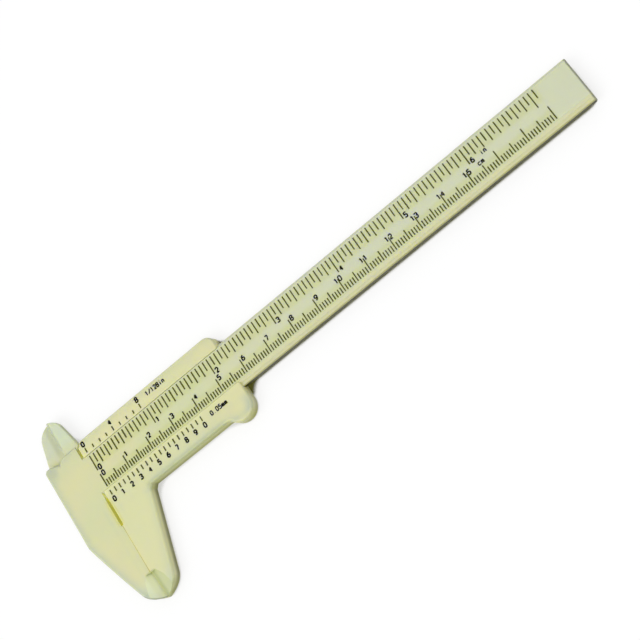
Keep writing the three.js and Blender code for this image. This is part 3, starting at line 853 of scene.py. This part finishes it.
def verniers(tick_ink, numeral_ink):
    ticks = []
    numbers = []
    for step in range(MM_VERNIER_STEPS + 1):
        x = SCALE_ZERO + step * MM_VERNIER_SPAN / MM_VERNIER_STEPS
        ticks.append(tick(x, MM_VERNIER_START, -MM_VERNIER_TICK))
        if step % 2 == 0:
            numbers += numeral(step // 2 % 10, x, MM_VERNIER_NUMERAL_Y)
    print_piece("mm_vernier_ticks", ticks, PRINTED_TICK, SLIDER, tick_ink)
    print_piece("mm_vernier_numerals", numbers, PRINTED_STROKE, SLIDER, numeral_ink)

    ticks = []
    numbers = []
    for step in range(INCH_VERNIER_STEPS + 1):
        x = SCALE_ZERO + step * INCH_VERNIER_SPAN / INCH_VERNIER_STEPS
        numbered = step % 4 == 0
        length = INCH_VERNIER_LONG_TICK if numbered else INCH_VERNIER_TICK
        ticks.append(tick(x, INCH_VERNIER_START, length))
        if numbered:
            numbers += numeral(step, x, INCH_VERNIER_NUMERAL_Y)
    print_piece("inch_vernier_ticks", ticks, PRINTED_TICK, SLIDER, tick_ink)
    print_piece("inch_vernier_numerals", numbers, PRINTED_STROKE, SLIDER, numeral_ink)


def labels(ink):
    for name, (node, texts) in LABELS.items():
        chains = []
        for text, x, y in texts:
            chains += words(text, x, y, LABEL_PITCH, LABEL_WIDTH, LABEL_HEIGHT)
        print_piece(name, chains, PRINTED_LABEL, node, ink)


def camera():
    data = bpy.data.cameras.new("camera")
    data.sensor_width = SENSOR_MM
    data.lens = CAMERA_LENS_MM
    data.clip_start = CLIP_START
    made = bpy.data.objects.new("camera", data)
    back = (CAMERA_PLACE - CAMERA_TARGET).normalized()
    right = CAMERA_UP.cross(back).normalized()
    turn = Matrix((right, back.cross(right), back)).transposed().to_4x4()
    made.matrix_world = Matrix.Translation(CAMERA_PLACE) @ turn
    bpy.context.scene.collection.objects.link(made)
    bpy.context.scene.camera = made


def white_floor():
    """White where it is seen, with a brown contact shade close under the beam and a weaker one elsewhere."""
    finish = Finish("white_floor")
    clouds = finish.past(finish.noise(FLOOR_CLOUD_SCALE), "floor_clouds")
    shown = finish.mix(clouds, grey(FLOOR_SHOWN), grey(FLOOR_SHOWN * FLOOR_CLOUD_SHARE))
    seen = finish.seen_directly()
    settings = {"samples": FLOOR_SAMPLES}
    inputs = {"Distance": FLOOR_CREVICE}
    open_sky = finish.node("ShaderNodeAmbientOcclusion", settings, inputs, output="AO")
    place = finish.place()
    under_beam = finish.until(finish.size_of(finish.axis_of(place, "Y")), "floor_off_beam")
    under_beam = under_beam * finish.past(finish.axis_of(place, "X"), "floor_past_head")
    in_open = finish.past(open_sky, "floor_open")
    in_open = finish.either(in_open, (1 - under_beam) * FLOOR_OPEN_OFF_BEAM)
    under = colour(*FLOOR_UNDER)
    finish.set(
        Base_Color=finish.mix(seen, grey(FLOOR_BOUNCE), finish.mix(in_open, under, shown)),
        Emission_Color=finish.mix(seen, grey(0.0), finish.mix(in_open, under, grey(FLOOR_GLOW))),
        Emission_Strength=1.0,
        Roughness=FLOOR_ROUGHNESS,
        Specular_IOR_Level=0.0,
    )
    return finish.material


def floor():
    half = FLOOR_HALF_SIZE
    mesh = bpy.data.meshes.new("floor")
    corners = [(-half, -half, 0), (half, -half, 0), (half, half, 0), (-half, half, 0)]
    mesh.from_pydata(corners, [], [(0, 1, 2, 3)])
    mesh.materials.append(white_floor())
    made = bpy.data.objects.new("floor", mesh)
    made.location.z = -FLOOR_BELOW
    bpy.context.scene.collection.objects.link(made)


def light():
    world = bpy.data.worlds.new("sky")
    world.use_nodes = True
    bpy.context.scene.world = world
    sky = Nodes(world.node_tree)
    background = sky.tree.nodes["Background"].inputs
    inputs = {"Value": sky.seen_directly(), "To Min": SKY_STRENGTH, "To Max": 1.0}
    sky.feed(background["Color"], grey(1.0))
    sky.feed(background["Strength"], sky.node("ShaderNodeMapRange", {}, inputs))

    data = bpy.data.lights.new("key", "SUN")
    data.energy = KEY_STRENGTH
    data.angle = KEY_ANGLE
    key = bpy.data.objects.new("key", data)
    key.rotation_euler = KEY_FROM.to_track_quat("Z", "Y").to_euler()
    bpy.context.scene.collection.objects.link(key)


camera()
bpy.context.scene.view_settings.view_transform = "Standard"

for node, material in ((BEAM, beam_plastic()), (SLIDER, slider_plastic())):
    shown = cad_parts[node]
    shown.data.materials.clear()
    shown.data.materials.append(material)

tick_ink = stamped_ink("tick_ink", *TICK_INK)
numeral_ink = stamped_ink("numeral_ink", *NUMERAL_INK)
main_scales(tick_ink, numeral_ink)
verniers(tick_ink, numeral_ink)
labels(numeral_ink)
floor()
light()
